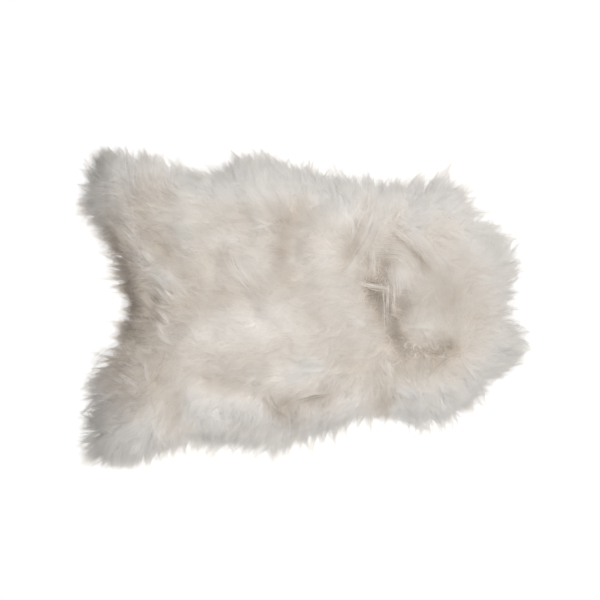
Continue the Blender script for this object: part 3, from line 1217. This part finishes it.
def hideMaterial():
    # one noise gives both the colour's grain and its bump
    material, nodes, links = newMaterial("tannedHide")
    shader = nodes["Principled BSDF"]
    place = nodes.new("ShaderNodeTexCoord")
    grain = nodes.new("ShaderNodeTexNoise")
    grain.inputs["Scale"].default_value = hide["grain"]
    grain.inputs["Detail"].default_value = hide["grainDetail"]
    colours = ramp(nodes, hide["colours"])
    bump = nodes.new("ShaderNodeBump")
    bump.inputs["Strength"].default_value = hide["grainBump"]
    bump.inputs["Distance"].default_value = hide["grainDeep"]
    links.new(place.outputs["Object"], grain.inputs["Vector"])
    links.new(grain.outputs["Fac"], colours.inputs["Fac"])
    links.new(grain.outputs["Fac"], bump.inputs["Height"])
    links.new(colours.outputs["Color"], shader.inputs["Base Color"])
    links.new(bump.outputs["Normal"], shader.inputs["Normal"])
    shader.inputs["Roughness"].default_value = hide["roughness"]
    shader.inputs["Specular IOR Level"].default_value = hide["specular"]
    return material


def makeHide():
    mesh = bmesh.new()
    discGrid(mesh, hide["cellsX"], hide["cellsY"], 0.0)
    area = sum(face.calc_area() for face in mesh.faces)
    for vert in mesh.verts:
        vert.co.z = hide["clear"]
    grown = bmesh.ops.extrude_face_region(mesh, geom=mesh.faces[:])["geom"]
    for item in grown:
        if isinstance(item, bmesh.types.BMVert):
            item.co.z = hide["clear"] + hide["thick"]
    bmesh.ops.recalc_face_normals(mesh, faces=mesh.faces)
    return meshObject("hide", mesh, hideMaterial()), area


# the dense wool near the skin, under the hairs
fleece = {
    "cellsX": 92,
    "cellsY": 64,
    "under": 0.011,         # depth of its top below the rug's top
    "past": -0.002,         # how far it comes past the hide
    "shoulder": 0.05,       # how far in from there it has its full height
    "lowest": 0.010,
    "lumps": 0.0025,
    "lumpSize": 0.012,
    "foot": 0.0040,
    "sole": 0.0015,         # how far its underside is below its foot
    "tint": 0.10,           # warmer than the hairs above it by this
    "mostTint": 0.98,
    "shade": 0.12,
    "fleck": 0.06,
    "fleckSize": 0.006,
}


def makeFleece():
    mesh = bmesh.new()
    discGrid(mesh, fleece["cellsX"], fleece["cellsY"], fleece["past"])
    for vert in mesh.verts:
        x, y = vert.co.x, vert.co.y
        edge = min(max((readAt(insideMap, x, y) - fleece["past"]) / fleece["shoulder"], 0), 1)
        lump = noise.noise(Vector((x, y, 0)) / fleece["lumpSize"]) * fleece["lumps"]
        top = max(readAt(topMap, x, y) - fleece["under"] + lump, fleece["lowest"])
        vert.co.z = fleece["foot"] + (top - fleece["foot"]) * math.sqrt(edge)
    border = [edge for edge in mesh.edges if edge.is_boundary]
    grown = bmesh.ops.extrude_edge_only(mesh, edges=border)["geom"]
    for item in grown:
        if isinstance(item, bmesh.types.BMVert):
            item.co.z = fleece["foot"] - fleece["sole"]
    border = [item for item in grown if isinstance(item, bmesh.types.BMEdge) and item.is_boundary]
    bmesh.ops.contextual_create(mesh, geom=border)
    bmesh.ops.recalc_face_normals(mesh, faces=mesh.faces)
    tinted = mesh.loops.layers.uv.new("OFBake")
    places = np.array([vert.co[:2] for vert in mesh.verts])
    tint = warmth(places[:, 0], places[:, 1]) + fleece["tint"]
    light = fullLight - fleece["shade"] - readMap(greyMap, places[:, 0], places[:, 1])
    fleck = [noise.noise(vert.co / fleece["fleckSize"]) * fleece["fleck"] for vert in mesh.verts]
    mesh.verts.index_update()
    for face in mesh.faces:
        for loop in face.loops:
            k = loop.vert.index
            loop[tinted].uv = (min(tint[k] + fleck[k], fleece["mostTint"]), light[k] + fleck[k])
    return meshObject("fleeceBody", mesh, wool)


def fitPiece(piece):
    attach(piece, "root")
    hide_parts("sheepskin")


skin, skinArea = makeHide()
fitPiece(skin)

wool = woolMaterial()
body = makeFleece()
fitPiece(body)

hairs = [growCoat(name, {**coatBase, **own}) for name, own in coats.items()]
hairs.append(layStrands())
hairs.append(layCurls())
for hair in hairs:
    hair.data.materials.append(wool)
    fitPiece(hair)

studio = {
    "floorSize": 30.0,
    "floorDrop": 0.0005,    # below the rug's underside
    "floorColour": (0.62, 0.62, 0.62, 1),
    "floorGlow": 0.55,
    "floorRoughness": 0.9,
    "lights": (             # name, place, size, watts
        ("keyLight", (3.8, 2.2, 4.0), 2.6, 170),
        ("overLight", (-0.08, -0.02, 1.6), 1.1, 18),
        ("sideLight", (0.2, -2.6, 2.6), 1.6, 18),
    ),
    "sky": 0.04,
    "backdrop": 0.60,       # how bright the sky itself looks
    "white": (1, 1, 1, 1),
    "lens": 85.0,
    "sensor": 36.0,
    "frameWide": 1.367,     # metres that the picture takes in, at the height of the wool
    "woolHeight": 0.045,
    "pixels": 600,          # the picture's width and height
    "rugPixel": (304.5, 307.5),     # where the rug's middle is in it
}


def makeFloor():
    mesh = bmesh.new()
    bmesh.ops.create_grid(mesh, x_segments=1, y_segments=1, size=studio["floorSize"] / 2)
    data = bpy.data.meshes.new("floor")
    mesh.to_mesh(data)
    mesh.free()
    floor = bpy.data.objects.new("floor", data)
    bpy.context.scene.collection.objects.link(floor)
    floor.location.z = -studio["floorDrop"]
    material, nodes, _ = newMaterial("floorPaint")
    shader = nodes["Principled BSDF"]
    shader.inputs["Base Color"].default_value = studio["floorColour"]
    shader.inputs["Roughness"].default_value = studio["floorRoughness"]
    shader.inputs["Specular IOR Level"].default_value = 0.0
    shader.inputs["Emission Color"].default_value = studio["white"]
    shader.inputs["Emission Strength"].default_value = studio["floorGlow"]
    data.materials.append(material)


def areaLight(name, place, size, power):
    data = bpy.data.lights.new(name, "AREA")
    data.shape = "DISK"
    data.size = size
    data.energy = power
    light = bpy.data.objects.new(name, data)
    light.location = place
    light.rotation_euler = (-Vector(place)).to_track_quat("-Z", "Y").to_euler()
    bpy.context.scene.collection.objects.link(light)


def makeSky():
    # the camera sees a brighter sky than the one that lights the rug
    world = bpy.data.worlds.new("studioSky")
    world.use_nodes = True
    nodes = world.node_tree.nodes
    links = world.node_tree.links
    rays = nodes.new("ShaderNodeLightPath")
    strength = nodes.new("ShaderNodeMapRange")
    strength.inputs["To Min"].default_value = studio["sky"]
    strength.inputs["To Max"].default_value = studio["backdrop"]
    nodes["Background"].inputs["Color"].default_value = studio["white"]
    links.new(rays.outputs["Is Camera Ray"], strength.inputs["Value"])
    links.new(strength.outputs["Result"], nodes["Background"].inputs["Strength"])
    bpy.context.scene.world = world


def makeCamera():
    data = bpy.data.cameras.new("photoCamera")
    data.lens = studio["lens"]
    data.sensor_width = studio["sensor"]
    camera = bpy.data.objects.new("photoCamera", data)
    distance = studio["frameWide"] / 2 / (data.sensor_width / 2 / data.lens)
    pixel = studio["frameWide"] / studio["pixels"]
    middle = (lowCorner + highCorner) / 2
    rugX, rugY = studio["rugPixel"]
    camera.location = (
        middle.x - (rugX - studio["pixels"] / 2) * pixel,
        middle.y + (rugY - studio["pixels"] / 2) * pixel,
        studio["woolHeight"] + distance,
    )
    bpy.context.scene.collection.objects.link(camera)
    bpy.context.scene.camera = camera


makeFloor()
for light in studio["lights"]:
    areaLight(*light)
makeSky()
makeCamera()
bpy.context.scene.view_settings.view_transform = "Standard"
print("studio ready")
